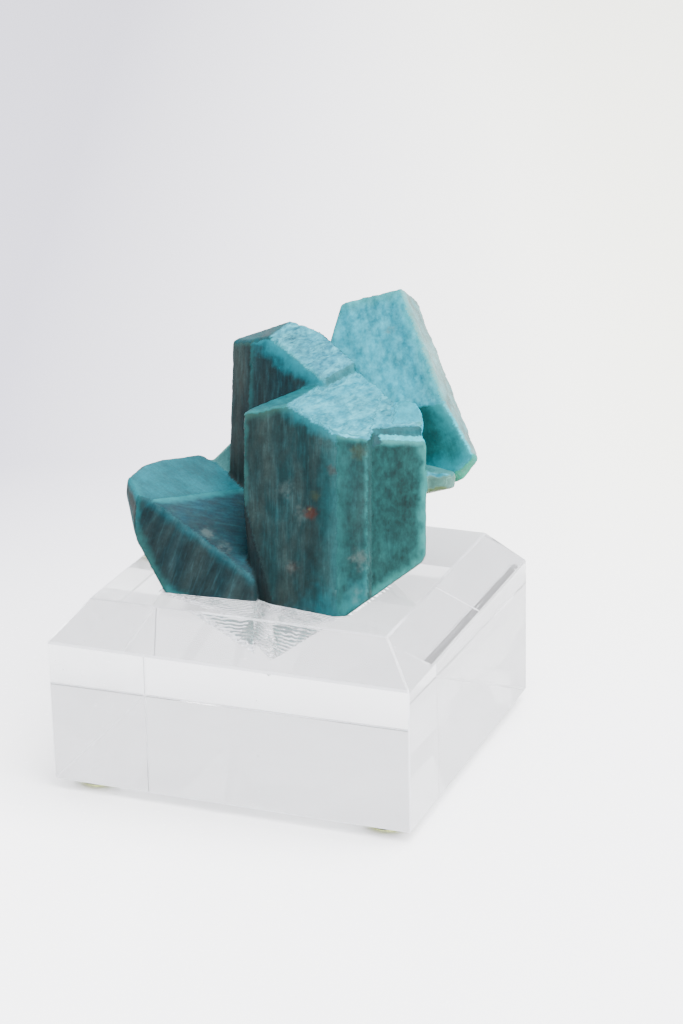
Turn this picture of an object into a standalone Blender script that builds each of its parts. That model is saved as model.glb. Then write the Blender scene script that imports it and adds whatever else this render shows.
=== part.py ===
"""Rough amazonite specimen fixed in a clear bevelled base on four bumper feet.

Frame: metres, +Z up, the base's front looks along -Y. The origin is on the surface that the
feet stand on, under the middle of the base.
"""

import bmesh
import bpy
import math
from mathutils import Matrix, Vector

MM = 0.001
GAP = 0.3 * MM

# Clear base: a two-inch bevelled block, one inch tall, on quarter-inch bumper feet
BASE_WIDTH = 50.8 * MM
BASE_DEPTH = 48.3 * MM
BASE_SIDE_HEIGHT = 19.8 * MM
BEVEL_INSET = 4.5 * MM
BEVEL_RISE = 5.2 * MM
EDGE_BREAK = 0.2 * MM
FOOT_DIAMETER = 6.4 * MM
FOOT_HEIGHT = 1.2 * MM
FOOT_FLAT_DIAMETER = 3.4 * MM
FOOT_EDGE_HEIGHT = 0.35 * MM
FOOT_INSET = 4.6 * MM
FOOT_SIDES = 32
DOME_STEPS = 6

BASE_BOTTOM = FOOT_HEIGHT + GAP
TOP_FACE = BASE_BOTTOM + BASE_SIDE_HEIGHT + BEVEL_RISE

# Crystal faces are given as (turn, slope, out): degrees turned from the crystal's front towards its
# right, degrees that the face looks up, and millimetres from the crystal's heart. A heart is given in
# millimetres from the middle of the base's top face.
ROUGH_BLOCK = 150 * MM
ARRIS_WEAR = 0.28 * MM

# The front prism and the rear prism grew nearly parallel, leaning back and a little to the left
FRONT_LEAN = (18.5, 6.2)
REAR_LEAN = (18.5, 4.3)
ROOF_TURN = 38.2
ROOF_SLOPE = 53.0

FRONT_HEART = (5.6, -7.1, 9.0)
FRONT_PRISM = (
    (-6.5, 0.0, 4.1),
    (27.0, 0.0, 6.7),
    (100.0, 0.0, 8.9),
    (163.0, 0.0, 8.7),
    (-139.0, 0.0, 4.0),
    (-115.5, 0.0, 6.28),
    (-78.0, 0.0, 9.05),
    (-25.0, -6.0, 6.1),
    (ROOF_TURN, ROOF_SLOPE, 13.75),
    (-27.0, 67.4, 16.05),
)
# A later layer on the front prism's right side stops short of the roof and leaves a ledge, with a
# notch in its left end
RIGHT_LAYER = (
    (43.0, 0.0, 7.8),
    (137.0, 0.0, 12.9),
    (180.0, 0.0, 6.0),
    (-90.0, 0.0, -7.6),
    (46.0, 51.5, 13.6),
    (15.0, 40.0, 9.8),
)
RIGHT_CORE = (
    (43.0, 0.0, 6.9),
    (137.0, 0.0, 12.6),
    (163.0, 0.0, 8.6),
    (-90.0, 0.0, -7.0),
    (ROOF_TURN, ROOF_SLOPE, 13.65),
)
# A rounded knob stands on the right-hand end of the roof, and dies out down the roof's slope
KNOB_WEAR = 0.3 * MM
KNOB = (
    (ROOF_TURN, 47.0, 13.33),
    (-72.5, 1.5, -10.5),
    (-130.5, 1.5, -3.7),
    (-167.5, 0.5, 4.2),
    (138.5, -1.0, 13.15),
    (119.5, -1.5, 14.3),
    (43.5, -1.0, 6.3),
    (121.0, -36.5, 4.5),
)

REAR_HEART = (-2.4, 2.9, 13.0)
REAR_PRISM = (
    (-29.0, 0.0, 4.4),
    (-14.0, 0.0, 3.8),
    (68.0, 0.0, 9.9),
    (161.0, 0.0, 3.25),
    (-170.0, 0.0, 1.15),
    (-125.0, 0.0, 5.8),
    (37.0, 51.5, 15.0),
    (-30.5, 62.0, 16.8),
)

LEFT_HEART = (-11.4, -7.1, 5.0)
LEFT_CRYSTAL = (
    (4.0, 22.5, 4.9),
    (51.5, 58.5, 4.3),
    (60.0, 77.0, 5.3),
    (-47.0, 12.0, 8.1),
    (-84.5, -37.0, 4.7),
    (-95.0, 0.0, 9.75),
    (-117.0, 0.0, 10.6),
    (-133.0, 0.0, 11.1),
    (160.0, 0.0, 10.1),
    (99.0, 8.5, 9.5),
)
# A small crystal shows between the left crystal and the rear prism
SMALL_HEART = (-7.0, 6.0, 9.0)
SMALL_CRYSTAL = (
    (-95.0, 42.0, 6.6),
    (-20.0, 35.0, 5.0),
    (-75.0, -15.0, 6.0),
    (-140.0, 10.0, 5.5),
    (165.0, 0.0, 6.5),
    (90.0, 0.0, 6.0),
    (0.0, -70.0, 5.4),
)

RIGHT_HEART = (8.6, 15.9, 21.0)
RIGHT_CRYSTAL = (
    (2.0, 47.5, 8.2),
    (105.0, 31.0, 8.2),
    (-83.0, 7.5, 8.5),
    (-146.0, 47.0, 11.2),
    (9.0, 18.0, 11.2),
    (148.0, -20.0, 2.5),
    (22.0, -52.0, 15.3),
    (60.0, -30.0, 18.7),
    (180.0, 0.0, 8.0),
)
# A crumb of pale crust hangs under the right crystal
CRUST_HEART = (19.6, -0.6, 13.6)
CRUST_WEAR = 0.3 * MM
CRUST = (
    (10.0, 10.0, 1.5),
    (75.0, -8.0, 3.2),
    (160.0, 5.0, 2.4),
    (-150.0, 0.0, 3.0),
    (-75.0, 5.0, 2.6),
    (40.0, -65.0, 0.8),
    (0.0, 90.0, 2.2),
)

# The broken underside of the whole specimen is a keel, deepest under the front prism
UNDERSIDE_HEART = (2.8, -14.0, -8.5)
UNDERSIDE = (
    (82.0, -50.0, 0.37),
    (93.0, -28.0, 9.8),
    (-95.0, -66.0, -1.48),
    (170.0, -63.0, 3.6),
)

# Small pits in the front prism's front face, each as its place like a heart, width and depth
PIT_FACE = (-6.5, 0.0)
PITS = (
    ((9.59, -9.29, 17.69), 1.0, 0.2),
    ((7.23, -10.74, 12.01), 1.2, 0.3),
    ((5.15, -12.68, 4.95), 1.1, 0.35),
)

UPRIGHT = (0.0, 0.0)
# Name, heart, faces, lean, wear of its arrises, and whether it reaches down into the base
CRYSTALS = (
    ("front_prism", FRONT_HEART, FRONT_PRISM, FRONT_LEAN, ARRIS_WEAR, True),
    ("right_layer", FRONT_HEART, RIGHT_LAYER, FRONT_LEAN, ARRIS_WEAR, True),
    ("right_core", FRONT_HEART, RIGHT_CORE, FRONT_LEAN, ARRIS_WEAR, True),
    ("rear_prism", REAR_HEART, REAR_PRISM, REAR_LEAN, ARRIS_WEAR, True),
    ("left_crystal", LEFT_HEART, LEFT_CRYSTAL, UPRIGHT, ARRIS_WEAR, True),
    ("small_crystal", SMALL_HEART, SMALL_CRYSTAL, UPRIGHT, ARRIS_WEAR, False),
    ("right_crystal", RIGHT_HEART, RIGHT_CRYSTAL, UPRIGHT, ARRIS_WEAR, False),
    ("knob", FRONT_HEART, KNOB, FRONT_LEAN, KNOB_WEAR, False),
    ("crust", CRUST_HEART, CRUST, UPRIGHT, CRUST_WEAR, False),
)


def collection(name):
    group = bpy.data.collections.new(name)
    bpy.context.scene.collection.children.link(group)
    return group


def material(name, colour, roughness, transmission=0.0, ior=1.5):
    made = bpy.data.materials.new(name)
    made.use_nodes = True
    shader = made.node_tree.nodes["Principled BSDF"]
    shader.inputs["Base Color"].default_value = (*colour, 1.0)
    shader.inputs["Roughness"].default_value = roughness
    shader.inputs["Metallic"].default_value = 0.0
    shader.inputs["Transmission Weight"].default_value = transmission
    shader.inputs["IOR"].default_value = ior
    return made


def lean_matrix(back, left):
    """The turn from upright to an axis that leans back, then left, both in degrees."""
    return Matrix.Rotation(math.radians(-left), 3, "Y") @ Matrix.Rotation(math.radians(-back), 3, "X")


def face_normal(turn, slope):
    turn, slope = math.radians(turn), math.radians(slope)
    level = math.cos(slope)
    return Vector((math.sin(turn) * level, -math.cos(turn) * level, math.sin(slope)))


def place(heart):
    return Vector(heart) * MM + Vector((0.0, 0.0, TOP_FACE))


def cut(mesh, point, normal):
    """Cut away what lies outside a plane and close the cut with one flat face."""
    everything = mesh.verts[:] + mesh.edges[:] + mesh.faces[:]
    result = bmesh.ops.bisect_plane(
        mesh, geom=everything, dist=1e-7, plane_co=point, plane_no=normal, clear_outer=True
    )
    rim = [item for item in result["geom_cut"] if isinstance(item, bmesh.types.BMEdge)]
    if rim:
        bmesh.ops.contextual_create(mesh, geom=rim)


def crystal_mesh(heart, faces, lean=(0.0, 0.0), grow=0.0, wear=ARRIS_WEAR):
    """A rough block cut back to the crystal's faces, each moved out by grow, with worn arrises."""
    mesh = bmesh.new()
    centre = place(heart)
    bmesh.ops.create_cube(mesh, size=ROUGH_BLOCK, matrix=Matrix.Translation(centre))
    turn_crystal = lean_matrix(*lean)
    for turn, slope, out in faces:
        normal = turn_crystal @ face_normal(turn, slope)
        cut(mesh, centre + normal * (out * MM + grow), normal)
    if wear:
        bmesh.ops.bevel(mesh, geom=mesh.edges[:], offset=wear, segments=1, profile=0.5, affect="EDGES")
    bmesh.ops.recalc_face_normals(mesh, faces=mesh.faces[:])
    return mesh


def add_object(mesh, name, group, finish=None):
    data = bpy.data.meshes.new(name)
    mesh.to_mesh(data)
    mesh.free()
    added = bpy.data.objects.new(name, data)
    if finish:
        data.materials.append(finish)
    group.objects.link(added)
    return added


def guide(mesh, name):
    added = add_object(mesh, name, cutters)
    added.hide_render = True
    added.display_type = "WIRE"
    return added


def boolean(target, tool, operation):
    step = target.modifiers.new(operation.lower() + " " + tool.name, "BOOLEAN")
    step.operation = operation
    step.solver = "EXACT"
    step.object = tool


def grown_together(name, group, crystals, grow=0.0, worn=True, finish=None):
    """The crystals joined into one solid and cut off below at the broken underside."""
    solid = None
    for label, heart, faces, lean, wear, _ in crystals:
        mesh = crystal_mesh(heart, faces, lean, grow, wear if worn else 0.0)
        if solid is None:
            solid = add_object(mesh, name, group, finish)
        else:
            boolean(solid, guide(mesh, name + "_" + label), "UNION")
    keel = guide(crystal_mesh(UNDERSIDE_HEART, UNDERSIDE, grow=grow, wear=0.0), name + "_keel")
    boolean(solid, keel, "INTERSECT")
    return solid


def open_pits(solid):
    """Hollow each pit out with a ball that stands out of the face and dips into it by the pit's depth."""
    outwards = lean_matrix(*FRONT_LEAN) @ face_normal(*PIT_FACE)
    for number, (spot, width, depth) in enumerate(PITS, start=1):
        radius = (width * width / 4.0 + depth * depth) / (2.0 * depth)
        centre = place(spot) + outwards * (radius - depth) * MM
        mesh = bmesh.new()
        bmesh.ops.create_icosphere(mesh, subdivisions=3, radius=radius * MM, matrix=Matrix.Translation(centre))
        boolean(solid, guide(mesh, "pit_" + str(number)), "DIFFERENCE")


def build_base():
    """The clear block: mitred bevels on the top edges and the recess cut to the specimen."""
    mesh = bmesh.new()
    height = BASE_SIDE_HEIGHT + BEVEL_RISE
    middle = Vector((0.0, 0.0, BASE_BOTTOM + height / 2))
    size = Matrix.Diagonal((BASE_WIDTH, BASE_DEPTH, height, 1.0))
    bmesh.ops.create_cube(mesh, size=1.0, matrix=Matrix.Translation(middle) @ size)
    shoulder = BASE_BOTTOM + BASE_SIDE_HEIGHT
    for across, along in ((1, 0), (-1, 0), (0, 1), (0, -1)):
        edge = Vector((across * BASE_WIDTH / 2, along * BASE_DEPTH / 2, shoulder))
        normal = Vector((across * BEVEL_RISE, along * BEVEL_RISE, BEVEL_INSET)).normalized()
        cut(mesh, edge, normal)
    bmesh.ops.bevel(mesh, geom=mesh.edges[:], offset=EDGE_BREAK, segments=1, profile=0.5, affect="EDGES")
    bmesh.ops.recalc_face_normals(mesh, faces=mesh.faces[:])
    base = add_object(mesh, "acrylic_base", parts, clear_acrylic)
    seated = [crystal for crystal in CRYSTALS if crystal[-1]]
    recess = grown_together("recess", cutters, seated, grow=GAP, worn=False)
    recess.hide_render = True
    recess.display_type = "WIRE"
    boolean(base, recess, "DIFFERENCE")
    return base


def build_foot(name, across, along):
    """A clear bumper: a flat-topped dome with a small flat where it meets the surface."""
    radius = FOOT_DIAMETER / 2
    flat = FOOT_FLAT_DIAMETER / 2
    dome_height = FOOT_HEIGHT - FOOT_EDGE_HEIGHT
    profile = [(0.0, FOOT_HEIGHT), (radius, FOOT_HEIGHT)]
    for step in range(DOME_STEPS + 1):
        angle = math.radians(90.0) * step / DOME_STEPS
        out = flat + (radius - flat) * math.cos(angle)
        profile.append((out, dome_height * (1.0 - math.sin(angle))))
    profile.append((0.0, 0.0))
    mesh = bmesh.new()
    points = [mesh.verts.new((out, 0.0, height)) for out, height in profile]
    for start, end in zip(points, points[1:]):
        mesh.edges.new((start, end))
    foot = add_object(mesh, name, parts, clear_rubber)
    turned = foot.modifiers.new("turned", "SCREW")
    turned.axis = "Z"
    turned.angle = math.radians(360.0)
    turned.steps = FOOT_SIDES
    turned.render_steps = FOOT_SIDES
    turned.use_merge_vertices = True
    turned.merge_threshold = 1e-6
    reach = Vector((BASE_WIDTH / 2 - FOOT_INSET, BASE_DEPTH / 2 - FOOT_INSET))
    foot.location = (across * reach.x, along * reach.y, 0.0)
    return foot


stone_colour = (0.08, 0.33, 0.34)
acrylic_colour = (0.93, 0.94, 0.95)
rubber_colour = (0.86, 0.88, 0.84)

for old in list(bpy.data.objects):
    bpy.data.objects.remove(old, do_unlink=True)

parts = collection("rough_amazonite")
cutters = collection("cutters")
stone = material("amazonite", stone_colour, 0.5)
clear_acrylic = material("clear_acrylic", acrylic_colour, 0.05, 1.0, 1.49)
clear_rubber = material("clear_polyurethane", rubber_colour, 0.15, 1.0, 1.5)

open_pits(grown_together("amazonite_cluster", parts, CRYSTALS, finish=stone))
build_base()
for depth_name, along in (("front", -1), ("back", 1)):
    for side_name, across in (("left", -1), ("right", 1)):
        build_foot("foot_" + depth_name + "_" + side_name, across, along)
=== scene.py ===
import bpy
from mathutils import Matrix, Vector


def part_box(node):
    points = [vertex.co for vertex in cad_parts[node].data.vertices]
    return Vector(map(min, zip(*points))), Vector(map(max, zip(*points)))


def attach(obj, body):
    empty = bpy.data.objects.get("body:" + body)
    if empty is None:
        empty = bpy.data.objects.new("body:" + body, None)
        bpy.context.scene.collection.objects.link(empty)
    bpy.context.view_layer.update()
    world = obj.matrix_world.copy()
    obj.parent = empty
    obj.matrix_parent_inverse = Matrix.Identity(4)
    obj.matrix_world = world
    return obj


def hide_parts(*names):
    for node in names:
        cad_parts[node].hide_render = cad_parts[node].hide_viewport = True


bl_info = {
    "name": "Rough amazonite on a clear base",
    "version": (1, 0, 0),
    "blender": (4, 5, 0),
    "location": "View3D > Sidebar > Amazonite",
    "description": "Finishes a rough amazonite specimen, its clear bevelled block and the block's feet",
    "category": "Object",
}

import math

import bmesh
import bpy
from bpy.props import FloatProperty, FloatVectorProperty, IntProperty, PointerProperty
from mathutils import Matrix, Vector, noise
from mathutils.bvhtree import BVHTree

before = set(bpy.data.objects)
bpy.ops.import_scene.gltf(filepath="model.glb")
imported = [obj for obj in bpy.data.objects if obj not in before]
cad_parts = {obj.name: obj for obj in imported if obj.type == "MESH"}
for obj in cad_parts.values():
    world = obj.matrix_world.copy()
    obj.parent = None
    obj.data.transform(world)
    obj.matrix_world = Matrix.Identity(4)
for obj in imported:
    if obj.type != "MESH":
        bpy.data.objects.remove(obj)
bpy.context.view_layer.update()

MM = 0.001
BODY = "root"
CLUSTER = "amazonite_cluster"
BLOCK = "acrylic_base"
FEET = ("foot_front_left", "foot_front_right", "foot_back_left", "foot_back_right")
MERGE_DISTANCE = 1e-6
FLAT_ANGLE = math.radians(0.6)

STONE_IOR = 1.52
STONE_SPECULAR = 0.07
ACRYLIC_IOR = 1.49
POLYURETHANE_IOR = 1.5

# A flat face of the solid belongs to the listed face that it misses least. A miss counts the angle
# between the two and the depth between their planes, and past WORN_MISS it is only a worn arris.
ANGLE_WEIGHT = 10.0
DEPTH_UNIT = 0.1 * MM
WORN_MISS = 0.35

# A face more square to its crystal's length than this takes its growth lines from front to back. Each
# face reads its noises a step away from the last face's.
SQUARE_TO_GROWTH = 0.95
SEED_STEP = 3.7

# A band's width allows for the angle between its two faces, whose squared sine counts as no less
LEAST_TILT = 0.05

# Sizes and strengths of the waves in the borders of the bands and of the marks
BAND_WAVES = ((1.6 * MM, 0.45), (0.5 * MM, 0.25))
MARK_WAVES = ((0.45 * MM, 0.45), (0.2 * MM, 0.2))

# A mark is full out to its core and gone at its end, in shares of its radius, and even where its
# border is ragged it stays within its reach
MARK_CORE = 1 / 3
MARK_END = 7 / 6
MARK_REACH = 2.0

# Growth ridges are this many streaks wide and long, and roof steps this many flecks wide and long.
# Their noises are given by how fast the fine part fades, how much finer each round is, and the rounds.
RIDGE_STREAKS = (4.0, 3.0)
RIDGE_NOISE = (0.8, 2.0, 3)
STEP_FLECKS = (2.0, 5.0)
STEP_NOISE = (0.7, 2.0, 3)

# Faces with more flecks than this are stepped, in about so many levels with steep ramps between them
STEPPED_FROM = 0.5
STEP_LEVELS = 4.0
STEP_SLOPE = 2.5

# Width of the swells in every face and of the chips along the arrises, and the height of the
# waves that leave no chip
SWELL_SIZE = 3.0 * MM
CHIP_SIZE = 0.9 * MM
CHIP_START = 0.1

# How much and how often the skin is smoothed before its relief is raised
WEAR_FACTOR = 0.5
WEAR_ROUNDS = 2

# The part of the stone that sits in the recess starts this far under the block's top face
BURIED_UNDER = 0.6 * MM

# What the specimen's operator stores on the stone's points for its material
SKIN_VALUES = ("streak", "fleck", "warm", "rim", "glow", "moss", "rust", "ash")

# Width and length of the stone's soft mottle and of its small specks, and the height that its finest
# grain, its streaks and its pearly scales stand to in the shading. Real growth lines are finer than a
# pixel, so the streaks are drawn a quarter of a millimetre wide.
MOTTLE_SIZE = (0.7 * MM, 0.9 * MM)
SPECK_SIZE = (0.3 * MM, 0.5 * MM)
GRAIN_HEIGHT = 0.04 * MM
STREAK_HEIGHT = 0.05 * MM
SCALE_HEIGHT = 0.08 * MM

# A noise patch is half as wide as the noise's cell. A wave texture of scale 1 repeats every pi / 10.
NOISE_PATCH = 0.5
WAVE_LENGTH = math.pi / 10

# Sockets of a mix of two colours or of two numbers, and a part of a pattern that is read as it is
MIX_SHARE, MIX_BELOW, MIX_ABOVE, MIX_COLOUR = 0, 6, 7, 2
MIX_BELOW_NUMBER, MIX_ABOVE_NUMBER = 2, 3
AS_IT_IS = (0.0, 1.0, 0.0, 1.0)

# The block's finishes. The recess lies well inside the block and opens through its top face, and a
# scraped edge is narrower than EDGE_WIDTH.
POLISHED, MILLED, SCRAPED = 0, 1, 2
RECESS_CLEAR = 5.0 * MM
TOP_SKIN = 0.05 * MM
EDGE_WIDTH = 0.4 * MM

# A foot's flat disc is this share of its radius, and its straight edge this share of its height
FOOT_FLAT_SHARE = 0.53
FOOT_EDGE_SHARE = 0.29
DOME_STEPS = 12

# The camera's place in millimetres, then its turn, tilt and roll in degrees
CAMERA_PLACE = (138.86, -331.09, 166.40)
CAMERA_TURN = (21.682, 20.264, -1.275)
CAMERA_SENSOR = 36.0
CAMERA_CLIP = (0.01, 20.0)

# Metres from the middle of the block to the floor's edge, and where its tints begin and are full. The darker
# tint to the far left is painted shade where the light falls off.
FLOOR_REACH = 3.0
FADE_BEHIND = (0.0, 0.12)
FADE_LEFT = (0.05, -0.06)
FADE_RIGHT = (0.0, 0.08)

# Name, place, what it points at, width and height in metres, and power in watts
LAMPS = (("overhead", (0.70, -0.10, 1.20), (0.0, 0.0, 0.0), (1.8, 1.8), 138.0),)

# Each crystal's heart, in millimetres from the middle of the block's top face, then the lean of its
# length from upright, back and to the left, in degrees
CRYSTALS = {
    "front": ((5.6, -7.1, 9.0), (18.5, 6.2)),
    "rear": ((-2.4, 2.9, 13.0), (18.5, 4.3)),
    "left": ((-11.4, -7.1, 5.0), (0.0, 0.0)),
    "small": ((-7.0, 6.0, 9.0), (0.0, 0.0)),
    "right": ((8.6, 15.9, 21.0), (0.0, 0.0)),
    "crust": ((19.6, -0.6, 13.6), (0.0, 0.0)),
    "broken": ((2.8, -14.0, -8.5), (0.0, 0.0)),
}

# Colours that several crystal faces share. Like every face colour, they hold painted light and shade as well
# as the stone's own tone.
FAR_WALL = "#081e20"
FRONT_LEFT_WALL = "#0b2323"
ROOF = "#035260"
LAYER_SIDE = "#0a2c2d"
KNOB_SIDE = "#03798f"
SMALL_BACK = "#082728"
RIGHT_BACK = "#1d4643"
CRUST_SIDE = "#3d5e56"
BROKEN = "#22413e"

# Crystal faces and their looks: name, crystal, turn, slope, out, colour, grain, streak, fleck, warm.
# Turn, slope and out place the face on its crystal: degrees turned from the front towards the right,
# degrees that it looks up, and millimetres from the heart. Grain is the angle of the growth lines on
# the face, in degrees from the crystal's length. Streak, fleck and warm are the strength of the growth
# streaks, of the white flecks and of the grey-brown clouds. Each colour is the stone's own tone with painted
# light and shade in it: the roofs are painted lighter, as lit from above, and the fronts and walls darker,
# as painted shade.
FACES = (
    ("front", "front", -6.5, 0.0, 4.1, "#071c1e", 0.0, 0.8, 0.05, 0.8),
    ("second", "front", 27.0, 0.0, 6.7, "#092324", 0.0, 0.8, 0.25, 0.3),
    ("step", "front", 100.0, 0.0, 8.9, "#0d2a2a", 0.0, 0.6, 0.2, 0.2),
    ("front_back", "front", 163.0, 0.0, 8.7, FAR_WALL, 0.0, 0.9, 0.15, 0.5),
    ("front_rear_left", "front", -139.0, 0.0, 4.0, FAR_WALL, 0.0, 0.9, 0.15, 0.5),
    ("front_left_back", "front", -115.5, 0.0, 6.28, FRONT_LEFT_WALL, 0.0, 0.8, 0.15, 0.4),
    ("front_left", "front", -78.0, 0.0, 9.05, FRONT_LEFT_WALL, 0.0, 0.8, 0.15, 0.4),
    ("front_low", "front", -25.0, -6.0, 6.1, "#041114", 0.0, 0.8, 0.05, 0.4),
    ("roof", "front", 38.2, 53.0, 13.75, ROOF, -52.0, 0.3, 1.0, 0.0),
    ("core_roof", "front", 38.2, 53.0, 13.65, ROOF, -52.0, 0.3, 1.0, 0.0),
    ("shoulder", "front", -27.0, 67.4, 16.05, "#033a40", 70.0, 0.5, 0.35, 0.05),
    ("layer", "front", 43.0, 0.0, 7.8, "#052222", 0.0, 0.45, 0.35, 0.1),
    ("layer_side", "front", 137.0, 0.0, 12.9, LAYER_SIDE, 0.0, 0.6, 0.2, 0.3),
    ("layer_back", "front", 180.0, 0.0, 6.0, FAR_WALL, 0.0, 0.8, 0.15, 0.4),
    ("layer_roof", "front", 46.0, 51.5, 13.6, "#037a84", -52.0, 0.2, 0.8, 0.0),
    # The notch's dark colour is painted shade: it faces away from the light, beside the face that stands out
    # next to it
    ("notch", "front", 15.0, 40.0, 9.8, "#052327", 0.0, 0.2, 0.2, 0.0),
    ("core", "front", 43.0, 0.0, 6.9, "#053338", 0.0, 0.3, 0.2, 0.0),
    ("core_side", "front", 137.0, 0.0, 12.6, LAYER_SIDE, 0.0, 0.6, 0.2, 0.3),
    ("core_back", "front", 163.0, 0.0, 8.6, FAR_WALL, 0.0, 0.8, 0.15, 0.4),
    ("knob", "front", 38.2, 47.0, 13.33, "#036b7a", -52.0, 0.2, 0.5, 0.0),
    ("knob_left", "front", -72.5, 1.5, -10.5, "#037085", 0.0, 0.2, 0.3, 0.0),
    ("knob_rear_left", "front", -130.5, 1.5, -3.7, KNOB_SIDE, 0.0, 0.2, 0.3, 0.0),
    ("knob_rear", "front", -167.5, 0.5, 4.2, KNOB_SIDE, 0.0, 0.2, 0.3, 0.0),
    ("knob_rear_right", "front", 138.5, -1.0, 13.15, KNOB_SIDE, 0.0, 0.2, 0.3, 0.0),
    ("knob_right", "front", 119.5, -1.5, 14.3, KNOB_SIDE, 0.0, 0.2, 0.3, 0.0),
    ("rear_left", "rear", -29.0, 0.0, 4.4, "#041214", 0.0, 0.7, 0.1, 0.9),
    ("rear_front", "rear", -14.0, 0.0, 3.8, "#031519", 0.0, 1.0, 0.05, 0.35),
    ("rear_right", "rear", 68.0, 0.0, 9.9, "#124a51", 0.0, 0.8, 0.15, 0.3),
    ("rear_back", "rear", 161.0, 0.0, 3.25, FAR_WALL, 0.0, 0.9, 0.15, 0.5),
    ("rear_back_left", "rear", -170.0, 0.0, 1.15, FAR_WALL, 0.0, 0.9, 0.15, 0.5),
    ("rear_side", "rear", -125.0, 0.0, 5.8, FAR_WALL, 0.0, 0.9, 0.15, 0.5),
    ("rear_roof", "rear", 37.0, 51.5, 15.0, "#033e4c", -52.0, 0.3, 1.0, 0.0),
    ("rear_shoulder", "rear", -30.5, 62.0, 16.8, "#032e34", 70.0, 0.5, 0.35, 0.15),
    ("left_front", "left", 4.0, 22.5, 4.9, "#06181c", -14.6, 1.0, 0.05, 0.7),
    ("left_upper", "left", 51.5, 58.5, 4.3, "#052129", 62.0, 0.9, 0.2, 0.0),
    ("left_roof", "left", 60.0, 77.0, 5.3, "#0a4048", 62.0, 0.4, 0.15, 0.0),
    ("left_side", "left", -47.0, 12.0, 8.1, "#03110f", -14.6, 0.5, 0.1, 0.6),
    ("left_under", "left", -84.5, -37.0, 4.7, "#092523", 0.0, 0.5, 0.1, 0.4),
    ("left_outer", "left", -95.0, 0.0, 9.75, FAR_WALL, -14.6, 0.7, 0.15, 0.4),
    ("left_outer_back", "left", -117.0, 0.0, 10.6, FAR_WALL, -14.6, 0.7, 0.15, 0.4),
    ("left_back", "left", -133.0, 0.0, 11.1, FAR_WALL, -14.6, 0.8, 0.15, 0.4),
    ("left_rear", "left", 160.0, 0.0, 10.1, FAR_WALL, -14.6, 0.8, 0.15, 0.4),
    ("left_inner", "left", 99.0, 8.5, 9.5, "#03181c", 0.0, 0.6, 0.1, 0.1),
    ("small_roof", "small", -95.0, 42.0, 6.6, "#2f5f5b", 40.0, 0.3, 0.2, 0.1),
    ("small_front", "small", -20.0, 35.0, 5.0, "#2b5556", 40.0, 0.3, 0.2, 0.1),
    ("small_left", "small", -75.0, -15.0, 6.0, "#224f4f", 0.0, 0.3, 0.2, 0.1),
    ("small_back", "small", -140.0, 10.0, 5.5, SMALL_BACK, 0.0, 0.4, 0.2, 0.2),
    ("small_rear", "small", 165.0, 0.0, 6.5, SMALL_BACK, 0.0, 0.4, 0.2, 0.2),
    ("right_top", "right", 2.0, 47.5, 8.2, "#035562", 20.0, 0.15, 0.6, 0.0),
    ("right_face", "right", 105.0, 31.0, 8.2, "#4f615e", -30.0, 0.3, 0.6, 0.1),
    ("right_left", "right", -83.0, 7.5, 8.5, "#03525c", 20.0, 0.4, 0.2, 0.1),
    ("right_crest", "right", -146.0, 47.0, 11.2, "#035f5e", 20.0, 0.3, 0.3, 0.1),
    ("right_front", "right", 9.0, 18.0, 11.2, "#03393a", 20.0, 0.5, 0.1, 0.0),
    ("right_rear", "right", 148.0, -20.0, 2.5, RIGHT_BACK, 0.0, 0.5, 0.2, 0.3),
    ("right_under", "right", 22.0, -52.0, 15.3, "#035842", 20.0, 0.3, 0.1, 0.0),
    ("right_low", "right", 60.0, -30.0, 18.7, "#036c54", 20.0, 0.3, 0.1, 0.0),
    ("right_end", "right", 180.0, 0.0, 8.0, RIGHT_BACK, 0.0, 0.5, 0.2, 0.3),
    ("crust_front", "crust", 10.0, 10.0, 1.5, CRUST_SIDE, 0.0, 0.1, 0.4, 0.15),
    ("crust_right", "crust", 75.0, -8.0, 3.2, CRUST_SIDE, 0.0, 0.1, 0.4, 0.15),
    ("crust_top", "crust", 0.0, 90.0, 2.2, "#225153", 0.0, 0.1, 0.4, 0.15),
    ("crust_under", "crust", 40.0, -65.0, 0.8, "#415133", 0.0, 0.1, 0.2, 0.5),
    ("broken_right", "broken", 82.0, -50.0, 0.37, BROKEN, 0.0, 0.2, 0.4, 0.4),
    ("broken_corner", "broken", 93.0, -28.0, 9.8, BROKEN, 0.0, 0.2, 0.4, 0.4),
    ("broken_left", "broken", -95.0, -66.0, -1.48, BROKEN, 0.0, 0.2, 0.4, 0.4),
    ("broken_rear", "broken", 170.0, -63.0, 3.6, BROKEN, 0.0, 0.2, 0.4, 0.4),
)
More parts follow.
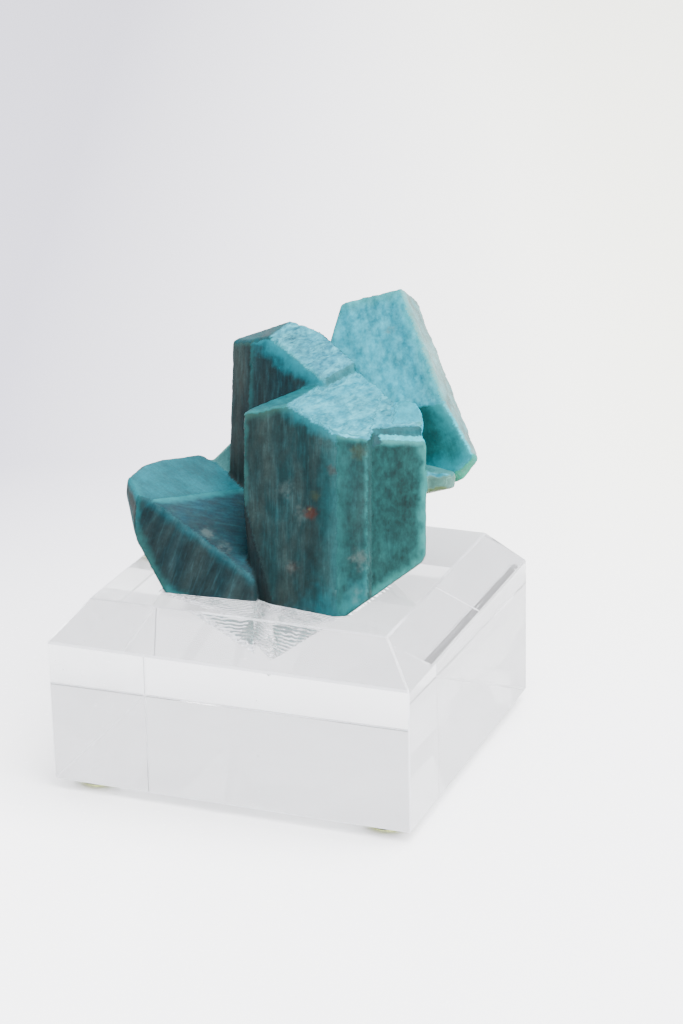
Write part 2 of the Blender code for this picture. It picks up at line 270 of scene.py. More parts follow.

# Bands along the edge that one face shares with another: the face, the other face, the band's width in
# millimetres, and the strength in it of the pale rim, partly wear and partly a painted glow of light through
# the thin edge, of the saturated teal, a painted glow of light through the edge, and of the mossy green
BANDS = (
    ("front", "broken_right", 7.0, 0.0, 0.35, 0.0),
    ("second", "front", 2.4, 0.15, 0.1, 0.1),
    ("front", "roof", 2.0, 0.1, 0.6, 0.0),
    ("front", "shoulder", 1.5, 0.15, 0.15, 0.7),
    ("front", "front_left_back", 1.2, 0.25, 0.15, 0.3),
    ("front", "second", 3.2, 0.08, 0.12, 0.0),
    ("second", "roof", 1.3, 0.55, 0.2, 0.0),
    ("second", "step", 0.9, 0.35, 0.1, 0.0),
    ("roof", "front", 0.7, 0.45, 0.1, 0.0),
    ("roof", "second", 0.7, 0.5, 0.0, 0.0),
    ("shoulder", "front", 0.6, 0.3, 0.3, 0.2),
    ("layer", "layer_roof", 0.8, 0.6, 0.3, 0.0),
    ("layer", "layer_side", 1.7, 0.75, 0.1, 0.0),
    ("layer", "broken_right", 1.8, 0.6, 0.1, 0.15),
    ("layer", "broken_corner", 1.8, 0.6, 0.1, 0.1),
    ("second", "broken_right", 5.0, 0.2, 0.3, 0.0),
    ("layer_side", "layer", 1.0, 0.7, 0.0, 0.0),
    ("core_roof", "core_side", 0.6, 0.7, 0.0, 0.0),
    ("knob", "knob_rear", 0.7, 0.35, 0.0, 0.0),
    ("rear_front", "rear_roof", 3.6, 0.05, 0.9, 0.0),
    ("rear_front", "rear_shoulder", 1.0, 0.1, 0.8, 0.0),
    ("rear_front", "rear_left", 0.8, 0.1, 0.1, 0.1),
    ("rear_left", "rear_shoulder", 1.2, 0.15, 0.1, 0.35),
    ("rear_left", "rear_side", 0.8, 0.2, 0.1, 0.1),
    ("rear_roof", "rear_front", 0.6, 0.3, 0.3, 0.0),
    ("left_front", "left_upper", 1.4, 0.0, 0.2, 0.0),
    ("left_front", "left_side", 1.0, 0.15, 0.2, 0.0),
    ("left_front", "left_under", 1.8, 0.2, 0.3, 0.5),
    ("left_front", "broken_left", 1.8, 0.3, 0.5, 0.3),
    ("left_upper", "left_roof", 1.2, 0.25, 0.5, 0.0),
    ("left_side", "left_roof", 1.2, 0.1, 0.7, 0.0),
    ("left_side", "left_under", 1.2, 0.3, 0.4, 0.1),
    ("left_roof", "left_side", 1.2, 0.2, 0.3, 0.0),
    ("right_top", "right_crest", 2.6, 0.5, 0.1, 0.25),
    ("right_top", "right_face", 2.2, 0.35, 0.45, 0.0),
    ("right_top", "right_left", 1.0, 0.35, 0.1, 0.0),
    ("right_face", "right_top", 0.8, 0.6, 0.2, 0.0),
    ("right_front", "right_face", 3.2, 0.3, 0.6, 0.0),
    ("right_front", "right_under", 3.2, 0.1, 0.8, 0.0),
    ("right_front", "right_low", 3.2, 0.2, 0.8, 0.0),
    ("right_under", "right_front", 1.2, 0.7, 0.4, 0.0),
    ("right_low", "right_face", 1.2, 0.6, 0.4, 0.0),
)

# Marks in the faces: place in the frame and radius, in millimetres, and the strength of rust, of moss
# and of ash
MARKS = (
    ((7.23, -10.74, 38.51), 1.05, 1.0, 0.0, 0.0),
    ((9.59, -9.29, 44.19), 0.8, 0.45, 0.0, 0.15),
    ((7.59, -10.11, 40.68), 0.7, 0.0, 0.6, 0.0),
    ((5.15, -12.68, 31.45), 1.0, 0.3, 0.0, 0.3),
    ((3.2, -9.4, 40.8), 1.4, 0.0, 0.0, 0.2),
    ((5.9, -10.9, 38.4), 1.4, 0.0, 0.0, 0.2),
    ((-7.86, -10.06, 33.71), 1.1, 0.0, 0.0, 0.3),
    ((-5.33, -10.7, 32.26), 1.2, 0.0, 0.0, 0.25),
    ((14.0, -11.2, 33.0), 1.6, 0.0, 0.0, 0.3),
    ((14.6, -12.5, 28.8), 1.6, 0.0, 0.0, 0.3),
    ((12.7, -7.2, 46.3), 1.2, 0.0, 0.5, 0.1),
    ((9.4, 13.6, 56.5), 0.7, 0.0, 0.0, 0.6),
)


def linear(hex_colour):
    """An sRGB hex colour as linear red, green, blue and a full alpha."""
    channels = [int(hex_colour[i : i + 2], 16) / 255 for i in (1, 3, 5)]
    return [c / 12.92 if c <= 0.04045 else ((c + 0.055) / 1.055) ** 2.4 for c in channels] + [1.0]


def colour(name, description, default):
    """A colour that a user can change."""
    return FloatVectorProperty(
        name=name,
        description=description,
        subtype="COLOR",
        size=4,
        min=0.0,
        max=1.0,
        default=linear(default),
    )


def length(name, description, default):
    """A length that a user can change."""
    return FloatProperty(name=name, description=description, unit="LENGTH", min=0.0, default=default)


def share(name, description, default):
    """A share from 0 to 1 that a user can change."""
    return FloatProperty(
        name=name, description=description, subtype="FACTOR", min=0.0, max=1.0, default=default
    )


class SpecimenSettings(bpy.types.PropertyGroup):
    """The stone's grain, relief and colours."""

    skin: length("Skin cell", "Size of the cells that the surface is modelled in", 0.31 * MM)
    relief: length("Growth relief", "Height of the growth lines on the prism faces", 0.03 * MM)
    step: length("Roof step", "Height of the small steps on the roofs", 0.09 * MM)
    chip: length("Chips", "Depth of the chips along the arrises", 0.35 * MM)
    streak_width: length("Streak width", "Width of the streaks along the prisms", 0.25 * MM)
    streak_length: length("Streak length", "Length of the streaks along the prisms", 2.2 * MM)
    cloud_size: length("Cloud size", "Size of the deep and grey-brown clouds", 4.0 * MM)
    fleck_size: length("Fleck size", "Width of the white flecks on the roofs", 0.6 * MM)
    grain_size: length("Grain", "Size of the finest grain", 0.16 * MM)
    # Bright teal is a painted glow of light shining through the stone near some edges
    bright: colour("Bright teal", "Saturated teal near some edges", "#045f6b")
    # The pale rim is partly the wear of the arrises and partly a painted glow of light through the thin
    # edges
    rim: colour("Pale rim", "Worn pale green of the arrises", "#266a66")
    pearl: colour("Pearl", "White flecks", "#469aa6")
    earth: colour("Grey brown", "Grey-brown clouds of the front faces", "#272e2b")
    moss: colour("Moss", "Yellow-green edges", "#20281b")
    rust: colour("Rust", "Iron stain in the pits", "#2f130b")
    ash: colour("Ash", "Pale grey patches", "#4a5350")
    buried: colour("Buried stone", "Pale rough stone of the part in the recess", "#2f6f69")


class BaseSettings(bpy.types.PropertyGroup):
    """The clear block and its recess."""

    tint: colour("Acrylic", "Colour of the clear acrylic", "#f4f5f6")
    frost: colour("Frost", "Colour of the milled wall of the recess", "#f4f5fa")
    clearness: share("Clearness", "Share of light that passes the milled wall between the tears", 0.96)
    smear_size: length("Smears", "Size of the wiping smears", 6.0 * MM)
    dust_size: length("Dust", "Size of the dust specks", 0.25 * MM)
    tear_size: length("Tears", "Size of the torn spots in the recess", 1.2 * MM)
    ridge_pitch: length("Ridge pitch", "Spacing of the cutter marks in the recess", 0.45 * MM)
    ridge_height: length("Ridge height", "Height of the cutter marks in the recess", 0.12 * MM)


class FeetSettings(bpy.types.PropertyGroup):
    """The clear bumper feet."""

    tint: colour("Polyurethane", "Colour of the clear feet", "#ccd48a")
    skin_size: length("Skin", "Size of the ripples in the feet's skin", 0.8 * MM)
    sides: IntProperty(name="Sides", description="Steps round each foot", min=12, default=64)


class StageSettings(bpy.types.PropertyGroup):
    """The floor, the light and the camera."""

    floor: colour("Floor", "Colour of the plain floor", "#f6f6f7")
    # The left floor colour is painted shade, where the light falls off to the far left
    left_floor: colour("Left floor", "Colour of the floor at its far left", "#a2a0ad")
    right_floor: colour("Right floor", "Colour of the floor at its far right", "#f0f0e2")
    fibre_size: length("Fibres", "Size of the fibres in the floor's card", 0.5556 * MM)
    sky: colour("Room", "Colour of the light from the room", "#f3f3f8")
    sky_power: FloatProperty(name="Room power", description="Strength of the room light", default=2.7)
    lens: FloatProperty(name="Lens", description="Focal length", unit="CAMERA", default=100.0)


def fill(tree, made, inputs):
    """Give a node's inputs their values or links."""
    for name, value in inputs.items():
        if isinstance(value, bpy.types.NodeSocket):
            tree.links.new(value, made.inputs[name])
        else:
            made.inputs[name].default_value = value


def node(tree, kind, inputs=None, output=0, **settings):
    """Add one node with its settings and inputs, and give back one of its outputs."""
    made = tree.nodes.new(kind)
    for name, value in settings.items():
        setattr(made, name, value)
    fill(tree, made, inputs or {})
    return made.outputs[output]


def patterned(tree, *parts):
    """The product of some parts. A part is a value, the low and the high end of what is read from it,
    and what these two ends give."""
    product = None
    for value, low, high, at_low, at_high in parts:
        inputs = {"Value": value, "From Min": low, "From Max": high, "To Min": at_low, "To Max": at_high}
        part = node(tree, "ShaderNodeMapRange", inputs)
        if product is None:
            product = part
        else:
            product = node(tree, "ShaderNodeMath", {0: product, 1: part}, operation="MULTIPLY")
    return product


def layered(tree, below, *layers):
    """Colours laid one over another. A layer is its colour and the parts that make its share."""
    for above, *parts in layers:
        inputs = {MIX_SHARE: patterned(tree, *parts), MIX_BELOW: below, MIX_ABOVE: above}
        below = node(tree, "ShaderNodeMix", inputs, MIX_COLOUR, data_type="RGBA")
    return below


def new_material(name):
    """A material, its tree, its shader and the place that its patterns are read at."""
    made = bpy.data.materials.new(name)
    made.use_nodes = True
    tree = made.node_tree
    return made, tree, tree.nodes["Principled BSDF"], node(tree, "ShaderNodeTexCoord", output="Object")


def add_piece(name, mesh, materials):
    """A shown piece in the frame, riding on the object's one body."""
    made = bpy.data.objects.new(name, mesh)
    bpy.context.scene.collection.objects.link(made)
    for material in materials:
        mesh.materials.append(material)
    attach(made, BODY)
    return made


def merged_copy(name):
    """A bmesh of a CAD node's shape with its loose triangles joined into flat faces."""
    mesh = bmesh.new()
    mesh.from_mesh(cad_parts[name].data)
    bmesh.ops.remove_doubles(mesh, verts=mesh.verts[:], dist=MERGE_DISTANCE)
    bmesh.ops.dissolve_limit(mesh, angle_limit=FLAT_ANGLE, verts=mesh.verts[:], edges=mesh.edges[:])
    bmesh.ops.recalc_face_normals(mesh, faces=mesh.faces[:])
    return mesh


def smooth(value):
    """A value held between 0 and 1, with both ends eased."""
    value = min(1.0, max(0.0, value))
    return value * value * (3.0 - 2.0 * value)


def ragged(point, waves):
    """How far waves, each given as its size and strength, move a border at a point."""
    return sum(strength * noise.noise(point / size) for size, strength in waves)


class CrystalFace:
    """One listed crystal face: its plane, the directions of its growth lines, its looks and its bands."""

    def __init__(self, top, index, entry):
        self.name, crystal, turn, slope, out, body, grain, *strengths = entry
        heart, lean = CRYSTALS[crystal]
        turned = self.leaning(*lean)
        self.normal = turned @ self.facing(math.radians(turn), math.radians(slope))
        self.out = self.normal.dot(Vector(heart) * MM + top) + out * MM
        self.body = linear(body)
        self.streak, self.fleck, self.warm = strengths
        growth = turned @ Vector((0.0, 0.0, 1.0))
        if abs(self.normal.dot(growth)) > SQUARE_TO_GROWTH:
            growth = turned @ Vector((0.0, 1.0, 0.0))
        self.along = (growth - self.normal * growth.dot(self.normal)).normalized()
        self.along.rotate(Matrix.Rotation(math.radians(grain), 3, self.normal))
        self.across = self.normal.cross(self.along)
        self.seed = index * SEED_STEP
        self.bands = []

    @staticmethod
    def leaning(back, left):
        """How a crystal is turned that leans back and to the left by so many degrees."""
        turn_left = Matrix.Rotation(math.radians(-left), 3, "Y")
        return turn_left @ Matrix.Rotation(math.radians(-back), 3, "X")

    @staticmethod
    def facing(turn, slope):
        """The direction that a face looks in, on an upright crystal."""
        level = math.cos(slope)
        return Vector((math.sin(turn) * level, -math.cos(turn) * level, math.sin(slope)))

    def depth(self, point):
        """How far under the face's plane a point lies."""
        return self.out - self.normal.dot(point)

    def add_band(self, other, width, strengths):
        """A band that is as wide on this face as asked, measured by the depth under the other face."""
        tilt = math.sqrt(max(LEAST_TILT, 1.0 - self.normal.dot(other.normal) ** 2))
        self.bands.append((other, tilt * width * MM, strengths))

    def bands_at(self, point):
        """Strengths of the pale rim, partly wear and partly painted glow, of the saturated teal, which is
        painted glow of light through the edges, and of the moss at a point of the face.
        """
        wander = 1.0 + ragged(point, BAND_WAVES)
        strengths = [0.0, 0.0, 0.0]
        for other, width, band in self.bands:
            near = smooth(1.0 - other.depth(point) / (width * wander))
            strengths = [max(old, near * new) for old, new in zip(strengths, band)]
        return strengths

    def lift_at(self, point, place, worn, look):
        """How far the growth relief, the roof steps and the chips move the skin outwards."""
        u, v = place
        ridge_width, ridge_length = RIDGE_STREAKS
        spot = (u / (ridge_width * look.streak_width), v / (ridge_length * look.streak_length), self.seed)
        lift = look.relief * self.streak * noise.fractal(Vector(spot), *RIDGE_NOISE)
        lift += look.relief * noise.noise(point / SWELL_SIZE)
        if self.fleck > STEPPED_FROM:
            step_width, step_length = (flecks * look.fleck_size for flecks in STEP_FLECKS)
            spot = (u / step_width, v / step_length, self.seed)
            height = STEP_LEVELS * noise.fractal(Vector(spot), *STEP_NOISE)
            lift += look.step * (math.floor(height) + smooth((height % 1.0) * STEP_SLOPE)) / 2.0
        if worn:
            lift -= look.chip * max(0.0, noise.noise(point / CHIP_SIZE) - CHIP_START)
        return lift


def listed_faces():
    """The listed crystal faces, with their bands."""
    top = Vector((0.0, 0.0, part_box(BLOCK)[1].z))
    faces = [CrystalFace(top, index, entry) for index, entry in enumerate(FACES)]
    by_name = {face.name: face for face in faces}
    for name, other, width, *strengths in BANDS:
        by_name[name].add_band(by_name[other], width, strengths)
    return faces


def nearest_listed(faces, flat):
    """The listed face that a flat face of the solid belongs to, and whether it is only a worn arris."""
    middle = flat.calc_center_median()

    def miss(face):
        return (1.0 - face.normal.dot(flat.normal)) * ANGLE_WEIGHT + abs(face.depth(middle)) / DEPTH_UNIT

    best = min(faces, key=miss)
    return best, miss(best) > WORN_MISS


def marks_at(point):
    """Strengths of rust, moss and ash at a point."""
    strengths = [0.0, 0.0, 0.0]
    for centre, radius, *mark in MARKS:
        near = (point - Vector(centre) * MM).length / (radius * MM)
        if near < MARK_REACH:
            near += ragged(point, MARK_WAVES)
            strength = smooth((MARK_END - near) / (MARK_END - MARK_CORE))
            strengths = [max(old, strength * new) for old, new in zip(strengths, mark)]
    return strengths


def voxel_skin(solid, cell):
    """The solid's surface as an even net of small faces."""
    rough = bpy.data.meshes.new("rough_stone")
    solid.to_mesh(rough)
    holder = bpy.data.objects.new("rough_stone", rough)
    bpy.context.scene.collection.objects.link(holder)
    net = holder.modifiers.new("net", "REMESH")
    net.mode = "VOXEL"
    net.voxel_size = cell
    net.use_smooth_shade = True
    worn = holder.modifiers.new("worn", "SMOOTH")
    worn.factor = WEAR_FACTOR
    worn.iterations = WEAR_ROUNDS
    evaluated = holder.evaluated_get(bpy.context.evaluated_depsgraph_get())
    mesh = bpy.data.meshes.new_from_object(evaluated)
    bpy.data.objects.remove(holder)
    bpy.data.meshes.remove(rough)
    return mesh


def dress_skin(mesh, flats, kinds, look):
    """Raise the growth lines and roof steps, chip the arrises, and store what the material reads."""
    values = {name: [] for name in SKIN_VALUES}
    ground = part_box(BLOCK)[1].z - BURIED_UNDER
    body, growth = [], []
    for vert in mesh.vertices:
        point = vert.co.copy()
        face, worn = kinds[flats.find_nearest(point)[2]]
        u, v = point.dot(face.across), point.dot(face.along)
        rim, glow, moss = face.bands_at(point)
        rust, mossy_mark, ash = marks_at(point)
        row = (face.streak, face.fleck, face.warm, rim, glow, max(moss, mossy_mark), rust, ash)
        for name, value in zip(SKIN_VALUES, row):
            values[name].append(value)
        body.extend(look.buried if point.z < ground else face.body)
        growth.extend((u, v, face.seed * MM))
        vert.co = point + face.normal * face.lift_at(point, (u, v), worn, look)
    for name in SKIN_VALUES:
        mesh.attributes.new(name, "FLOAT", "POINT").data.foreach_set("value", values[name])
    mesh.attributes.new("body", "FLOAT_COLOR", "POINT").data.foreach_set("color", body)
    mesh.attributes.new("growth", "FLOAT_VECTOR", "POINT").data.foreach_set("vector", growth)


def growth_patterns(tree, look):
    """Noises stretched along the growth lines, from the broadest clouds to the smallest specks."""
    growth = node(tree, "ShaderNodeAttribute", output="Vector", attribute_name="growth")
    cloud, fleck = look.cloud_size, look.fleck_size
    streak_width, streak_length = look.streak_width, look.streak_length
    # Width, length, detail, roughness and distortion of each
    sizes = (
        (cloud, 1.6 * cloud, 4.0, 0.55, 0.0),
        (0.5 * cloud, 1.5 * cloud, 5.0, 0.6, 0.4),
        (0.3 * cloud, 4.0 * cloud, 3.0, 0.55, 0.0),
        (streak_width, streak_length, 4.0, 0.65, 0.5),
        (0.5 * streak_width, 0.5 * streak_length, 2.0, 0.55, 0.0),
        (*MOTTLE_SIZE, 3.0, 0.6, 0.0),
        (fleck, 2.6 * fleck, 5.0, 0.7, 0.6),
        (*SPECK_SIZE, 3.0, 0.65, 0.0),
    )
    patterns = []
    for width, long, detail, roughness, distortion in sizes:
        scale = (NOISE_PATCH / width, NOISE_PATCH / long, 1.0 / MM)
        inputs = {
            "Vector": node(tree, "ShaderNodeMapping", {"Vector": growth, "Scale": scale}),
            "Scale": 1.0,
            "Detail": detail,
            "Roughness": roughness,
            "Distortion": distortion,
        }
        patterns.append(node(tree, "ShaderNodeTexNoise", inputs))
    return patterns


def amazonite_material(look):
    """Rough amazonite, a teal feldspar: natural growth faces with a waxy gleam, fine pale streaks of a
    second feldspar along the prisms, and pearly flecked roofs. The pale arrises are partly worn and partly a
    painted glow of light through the thin edges, and each face's colour holds painted light and shade."""
    made, tree, shader, place = new_material("amazonite_natural_faces")
    clouds, patches, bands, streaks, lines, mottle, flecks, specks = growth_patterns(tree, look)
    grain_inputs = {"Vector": place, "Scale": NOISE_PATCH / look.grain_size, "Detail": 2.0, "Roughness": 0.6}
    grain = node(tree, "ShaderNodeTexNoise", grain_inputs)
    streak, fleck, warm, rim, glow, moss, rust, ash = (
        node(tree, "ShaderNodeAttribute", output="Fac", attribute_name=name) for name in SKIN_VALUES
    )
    seen = patterned(tree, (streak, *AS_IT_IS), (clouds, 0.35, 0.6, 0.35, 1.0))
    ridges = patterned(tree, (streaks, 0.5, 0.74, 0.0, 1.0), (seen, *AS_IT_IS))
    scales = patterned(tree, (flecks, 0.5, 0.66, 0.0, 1.0), (fleck, 0.6, 1.0, 0.0, 1.0))

    # Each face's colour, with the painted light of the roofs and the painted shade of the fronts and walls
    # in it
    stone = node(tree, "ShaderNodeAttribute", output="Color", attribute_name="body")
    stone = layered(tree, stone, (look.earth, (patches, 0.42, 0.68, 0.0, 0.6), (warm, *AS_IT_IS)))

    # How light the stone is: everywhere by its clouds, mottle and grain, and by its growth lines where
    # they are strong
    level = patterned(
        tree,
        (clouds, 0.3, 0.7, 0.6, 1.4),
        (mottle, 0.25, 0.75, 0.72, 1.28),
        (grain, 0.3, 0.7, 0.88, 1.12),
    )
    growth_tones = (
        (streak, (bands, 0.3, 0.7, 0.7, 1.3)),
        (streak, (lines, 0.3, 0.7, 0.9, 1.1)),
        (seen, (streaks, 0.5, 0.74, 1.0, 1.4)),
    )
    for where, part in growth_tones:
        inputs = {MIX_SHARE: where, MIX_BELOW_NUMBER: 1.0, MIX_ABOVE_NUMBER: patterned(tree, part)}
        tone = node(tree, "ShaderNodeMix", inputs)
        level = node(tree, "ShaderNodeMath", {0: level, 1: tone}, operation="MULTIPLY")
    stone = node(tree, "ShaderNodeHueSaturation", {"Value": level, "Color": stone})

    # Spots are pearly on the roofs, and pale green on the walls
    spot = layered(tree, look.rim, (look.pearl, (fleck, 0.4, 0.6, 0.0, 1.0)))
    stone = layered(
        tree,
        stone,
        (look.pearl, (ridges, 0.0, 1.0, 0.0, 0.04)),
        # Saturated teal near some edges: a painted glow of light shining through the thin stone
        (look.bright, (glow, *AS_IT_IS), (mottle, 0.3, 0.6, 0.55, 1.0)),
        (look.moss, (moss, *AS_IT_IS)),
        # Pale rim along the arrises: partly wear, partly a painted glow of light through the thin edges
        (look.rim, (rim, *AS_IT_IS), (mottle, 0.25, 0.6, 0.45, 1.0)),
        (spot, (mottle, 0.42, 0.75, 0.0, 0.34), (fleck, 0.2, 0.8, 0.0, 1.0), (patches, 0.3, 0.6, 0.2, 1.0)),
        (spot, (specks, 0.4, 0.8, 0.0, 0.36), (fleck, *AS_IT_IS)),
        (look.pearl, (scales, 0.0, 1.0, 0.0, 0.4)),
        (look.ash, (ash, *AS_IT_IS), (mottle, 0.4, 0.6, 0.0, 1.0)),
        (look.rust, (rust, 0.0, 1.0, 0.0, 0.7)),
    )

    normal = None
    bumps = ((grain, 0.4, GRAIN_HEIGHT), (streaks, 0.5, STREAK_HEIGHT), (scales, 0.6, SCALE_HEIGHT))
    for height, strength, distance in bumps:
        inputs = {"Height": height, "Strength": strength, "Distance": distance}
        if normal is not None:
            inputs["Normal"] = normal
        normal = node(tree, "ShaderNodeBump", inputs)
    finish = {
        "Base Color": stone,
        "Roughness": patterned(tree, (mottle, 0.3, 0.7, 0.42, 0.6)),
        "IOR": STONE_IOR,
        "Specular IOR Level": STONE_SPECULAR,
        "Normal": normal,
    }
    fill(tree, shader, finish)
    return made


class AMAZONITE_OT_specimen(bpy.types.Operator):
    """Model the stone's surface over its CAD solid and give it the look of each crystal face"""

    bl_idname = "amazonite.specimen"
    bl_label = "Amazonite specimen"

    def execute(self, context):
        look = context.scene.amazonite_specimen
        solid = merged_copy(CLUSTER)
        flats = BVHTree.FromBMesh(solid)
        faces = listed_faces()
        kinds = [nearest_listed(faces, flat) for flat in solid.faces]
        mesh = voxel_skin(solid, look.skin)
        solid.free()
        dress_skin(mesh, flats, kinds, look)
        piece = add_piece("amazonite_specimen", mesh, [amazonite_material(look)])
        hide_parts(CLUSTER)
        return {"FINISHED"}


def acrylic_material(look):
    """Cast acrylic, polished: clear and mirror-smooth, with faint wiping smears and a little dust."""
    made, tree, shader, place = new_material("cast_acrylic_polished")
    smear_inputs = {"Vector": place, "Scale": NOISE_PATCH / look.smear_size, "Detail": 3.0}
    smears = node(tree, "ShaderNodeTexNoise", smear_inputs)
    dust_inputs = {"Vector": place, "Scale": NOISE_PATCH / look.dust_size, "Detail": 1.0}
    dust = node(tree, "ShaderNodeTexNoise", dust_inputs)
    dusty = patterned(tree, (dust, 0.7, 0.76, 0.0, 1.0), (smears, 0.45, 0.65, 0.0, 1.0))
    finish = {
        "Base Color": look.tint,
        "IOR": ACRYLIC_IOR,
        "Roughness": patterned(tree, (smears, 0.35, 0.7, 0.0, 0.03)),
        "Transmission Weight": patterned(tree, (dusty, 0.0, 1.0, 0.95, 0.65)),
    }
    fill(tree, shader, finish)
    return made


def edge_material(look):
    """Cast acrylic, edges broken with a scraper: a fine matt line that catches the light."""
    made, tree, shader, place = new_material("cast_acrylic_scraped_edge")
    scrape_inputs = {"Vector": place, "Scale": NOISE_PATCH / look.dust_size, "Detail": 2.0}
    scrapes = node(tree, "ShaderNodeTexNoise", scrape_inputs)
    finish = {
        "Base Color": look.frost,
        "IOR": ACRYLIC_IOR,
        "Roughness": patterned(tree, (scrapes, 0.3, 0.7, 0.1, 0.22)),
        "Transmission Weight": 0.75,
    }
    fill(tree, shader, finish)
    return made


def milled_material(look):
    """Cast acrylic, milled: the cutter left fine level ridges, white where they are torn and clear
    between, so that the stone shows through in slivers."""
    made, tree, shader, place = new_material("cast_acrylic_milled")
    tear_inputs = {"Vector": place, "Scale": NOISE_PATCH / look.tear_size, "Detail": 4.0}
    tears = node(tree, "ShaderNodeTexNoise", tear_inputs)
    lift = patterned(tree, (tears, 0.0, 1.0, 0.0, 2.0 * look.ridge_pitch))
    lift = node(tree, "ShaderNodeCombineXYZ", {"Z": lift})
    ridge_inputs = {
        "Vector": node(tree, "ShaderNodeVectorMath", {0: place, 1: lift}, operation="ADD"),
        "Scale": WAVE_LENGTH / look.ridge_pitch,
        "Distortion": 3.0,
        "Detail": 3.0,
        "Detail Scale": 1.5,
    }
    ridges = node(tree, "ShaderNodeTexWave", ridge_inputs, wave_type="BANDS", bands_direction="Z")
    torn = patterned(tree, (ridges, 0.5, 0.75, 0.0, 1.0), (tears, 0.38, 0.5, 0.0, 1.0))
    raised = {"Height": ridges, "Strength": 0.8, "Distance": look.ridge_height}
    finish = {
        "Base Color": look.frost,
        "IOR": ACRYLIC_IOR,
        "Roughness": patterned(tree, (torn, 0.0, 1.0, 0.03, 0.5)),
        "Transmission Weight": patterned(tree, (torn, 0.0, 1.0, look.clearness, 0.12)),
        "Normal": node(tree, "ShaderNodeBump", raised),
    }
    fill(tree, shader, finish)
    return made


def block_finish(face, low, high):
    """Which of the block's finishes a face has: polished, milled recess or scraped edge."""
    middle = face.calc_center_median()
    inside = (
        low.x + RECESS_CLEAR < middle.x < high.x - RECESS_CLEAR
        and low.y + RECESS_CLEAR < middle.y < high.y - RECESS_CLEAR
        and low.z + RECESS_CLEAR < middle.z < high.z - TOP_SKIN
    )
    if inside:
        return MILLED
    longest = max(edge.calc_length() for edge in face.edges)
    return SCRAPED if face.calc_area() / longest < EDGE_WIDTH else POLISHED


class AMAZONITE_OT_block(bpy.types.Operator):
    """Finish the clear block, and frost the milled recess that holds the specimen"""

    bl_idname = "amazonite.block"
    bl_label = "Clear block"

    def execute(self, context):
        look = context.scene.amazonite_base
        solid = merged_copy(BLOCK)
        low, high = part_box(BLOCK)
        for face in solid.faces:
            face.material_index = block_finish(face, low, high)
        mesh = bpy.data.meshes.new("display_block")
        solid.to_mesh(mesh)
        solid.free()
        # In the order of POLISHED, MILLED and SCRAPED
        finishes = [acrylic_material(look), milled_material(look), edge_material(look)]
        piece = add_piece("display_block", mesh, finishes)
        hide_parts(BLOCK)
        return {"FINISHED"}


def polyurethane_material(look):
    """Polyurethane, cast: a soft clear bumper with a faint yellow-green cast and a satin skin."""
    made, tree, shader, place = new_material("polyurethane_cast_clear")
    skin_inputs = {"Vector": place, "Scale": NOISE_PATCH / look.skin_size, "Detail": 2.0}
    skin = node(tree, "ShaderNodeTexNoise", skin_inputs)
    finish = {
        "Base Color": look.tint,
        "IOR": POLYURETHANE_IOR,
        "Roughness": patterned(tree, (skin, 0.3, 0.7, 0.03, 0.14)),
        "Transmission Weight": 1.0,
    }
    fill(tree, shader, finish)
    return made


def turned_foot(centre, radius, height, sides):
    """A flat-topped dome, its dome down, spun about its own axis."""
    flat = radius * FOOT_FLAT_SHARE
    dome = height * (1.0 - FOOT_EDGE_SHARE)
    points = [(0.0, height), (radius, height)]
    for step in range(DOME_STEPS + 1):
        angle = math.radians(90.0) * step / DOME_STEPS
        points.append((flat + (radius - flat) * math.cos(angle), dome * (1.0 - math.sin(angle))))
    points.append((0.0, 0.0))
    foot = bmesh.new()
    verts = [foot.verts.new((out, 0.0, up)) for out, up in points]
    edges = [foot.edges.new(pair) for pair in zip(verts, verts[1:])]
    bmesh.ops.spin(
        foot,
        geom=verts + edges,
        cent=(0.0, 0.0, 0.0),
        axis=(0.0, 0.0, 1.0),
        angle=math.radians(360.0),
        steps=sides,
        use_merge=True,
    )
    bmesh.ops.remove_doubles(foot, verts=foot.verts[:], dist=MERGE_DISTANCE)
    bmesh.ops.recalc_face_normals(foot, faces=foot.faces[:])
    bmesh.ops.translate(foot, verts=foot.verts[:], vec=(centre.x, centre.y, 0.0))
    mesh = bpy.data.meshes.new("bumper")
    foot.to_mesh(mesh)
    foot.free()
    mesh.shade_smooth()
    return mesh


class AMAZONITE_OT_feet(bpy.types.Operator):
    """Turn the four clear bumper feet"""

    bl_idname = "amazonite.feet"
    bl_label = "Bumper feet"

    def execute(self, context):
        look = context.scene.amazonite_feet
        finish = polyurethane_material(look)
        for name in FEET:
            low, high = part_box(name)
            centre = (low + high) / 2
            radius = (high.x - low.x) / 2
            height = high.z - low.z
            mesh = turned_foot(centre, radius, height, look.sides)
            piece = add_piece(name.replace("foot", "bumper"), mesh, [finish])
            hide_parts(name)
        return {"FINISHED"}


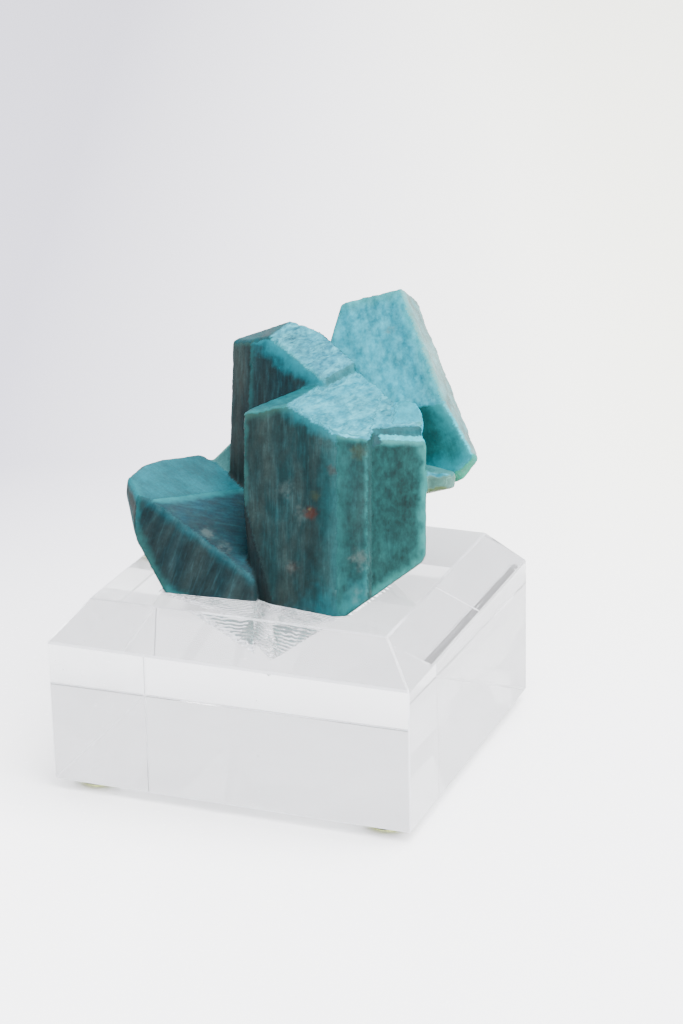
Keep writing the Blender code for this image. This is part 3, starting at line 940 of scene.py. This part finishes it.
def floor_material(look):
    """Card, smooth: pale and plain, with painted shade that makes it duller towards the far left, and a
    little warm to the far right. Its fibres are too fine to show, so they are drawn about half a millimetre
    wide."""
    made, tree, shader, place = new_material("card_smooth_pale")
    turned = {"Vector": place, "Rotation": (0.0, 0.0, -math.radians(CAMERA_TURN[0]))}
    seen_from_camera = node(tree, "ShaderNodeMapping", turned)
    split = node(tree, "ShaderNodeSeparateXYZ", {"Vector": seen_from_camera}).node
    behind = (split.outputs["Y"], *FADE_BEHIND, 0.0, 1.0)
    card = layered(
        tree,
        look.floor,
        (look.right_floor, behind, (split.outputs["X"], *FADE_RIGHT, 0.0, 1.0)),
        # Painted shade: the floor darkens to the far left
        (look.left_floor, behind, (split.outputs["X"], *FADE_LEFT, 0.0, 1.0)),
    )
    fibre_inputs = {"Vector": place, "Scale": NOISE_PATCH / look.fibre_size, "Detail": 3.0}
    fibres = node(tree, "ShaderNodeTexNoise", fibre_inputs)
    roughness = patterned(tree, (fibres, 0.3, 0.7, 0.2, 0.28))
    fill(tree, shader, {"Base Color": card, "Roughness": roughness})
    return made


def add_floor(scene, look):
    """The plain floor, which is stage and no part of the object."""
    grid = bmesh.new()
    bmesh.ops.create_grid(grid, x_segments=2, y_segments=2, size=FLOOR_REACH)
    mesh = bpy.data.meshes.new("floor")
    grid.to_mesh(mesh)
    grid.free()
    floor = bpy.data.objects.new("floor", mesh)
    scene.collection.objects.link(floor)
    mesh.materials.append(floor_material(look))


def add_light(scene, look):
    """Even light from the room, and the soft lamps."""
    world = bpy.data.worlds.new("room")
    scene.world = world
    world.use_nodes = True
    background = world.node_tree.nodes["Background"]
    fill(world.node_tree, background, {"Color": look.sky, "Strength": look.sky_power})
    for name, place, target, size, power in LAMPS:
        data = bpy.data.lights.new(name, "AREA")
        data.shape = "RECTANGLE"
        data.size, data.size_y = size
        data.energy = power
        lamp = bpy.data.objects.new(name, data)
        scene.collection.objects.link(lamp)
        lamp.location = place
        lamp.rotation_euler = (Vector(target) - Vector(place)).to_track_quat("-Z", "Y").to_euler()


def add_camera(scene, lens):
    """The camera, from its place and its turn, tilt and roll."""
    turn, tilt, roll = (math.radians(angle) for angle in CAMERA_TURN)
    back = Vector((math.sin(turn) * math.cos(tilt), -math.cos(turn) * math.cos(tilt), math.sin(tilt)))
    right = Vector((math.cos(turn), math.sin(turn), 0.0))
    up = back.cross(right)
    rolled_right = right * math.cos(roll) + up * math.sin(roll)
    rolled_up = up * math.cos(roll) - right * math.sin(roll)
    data = bpy.data.cameras.new("camera")
    data.lens = lens
    data.sensor_width = CAMERA_SENSOR
    data.clip_start, data.clip_end = CAMERA_CLIP
    camera = bpy.data.objects.new("camera", data)
    scene.collection.objects.link(camera)
    axes = Matrix((rolled_right, rolled_up, back)).transposed()
    camera.matrix_world = Matrix.Translation(Vector(CAMERA_PLACE) * MM) @ axes.to_4x4()
    scene.camera = camera


class AMAZONITE_OT_stage(bpy.types.Operator):
    """Set the plain pale floor, the soft light and the camera"""

    bl_idname = "amazonite.stage"
    bl_label = "Stage"

    def execute(self, context):
        look = context.scene.amazonite_stage
        add_floor(context.scene, look)
        add_light(context.scene, look)
        add_camera(context.scene, look.lens)
        return {"FINISHED"}


class AMAZONITE_PT_panel(bpy.types.Panel):
    """Lists the steps in the 3D view's sidebar"""

    bl_idname = "AMAZONITE_PT_panel"
    bl_label = "Amazonite"
    bl_space_type = "VIEW_3D"
    bl_region_type = "UI"
    bl_category = "Amazonite"

    def draw(self, context):
        for operator in OPERATORS:
            self.layout.operator(operator.bl_idname)


SETTINGS = {
    "amazonite_specimen": SpecimenSettings,
    "amazonite_base": BaseSettings,
    "amazonite_feet": FeetSettings,
    "amazonite_stage": StageSettings,
}
OPERATORS = (AMAZONITE_OT_specimen, AMAZONITE_OT_block, AMAZONITE_OT_feet, AMAZONITE_OT_stage)
CLASSES = (*SETTINGS.values(), *OPERATORS, AMAZONITE_PT_panel)


def register():
    for item in CLASSES:
        bpy.utils.register_class(item)
    for name, group in SETTINGS.items():
        setattr(bpy.types.Scene, name, PointerProperty(type=group))


def unregister():
    for name in SETTINGS:
        delattr(bpy.types.Scene, name)
    for item in reversed(CLASSES):
        bpy.utils.unregister_class(item)


def main():
    register()
    bpy.ops.amazonite.specimen()
    bpy.ops.amazonite.block()
    bpy.ops.amazonite.feet()
    bpy.ops.amazonite.stage()


if __name__ == "__main__":
    main()
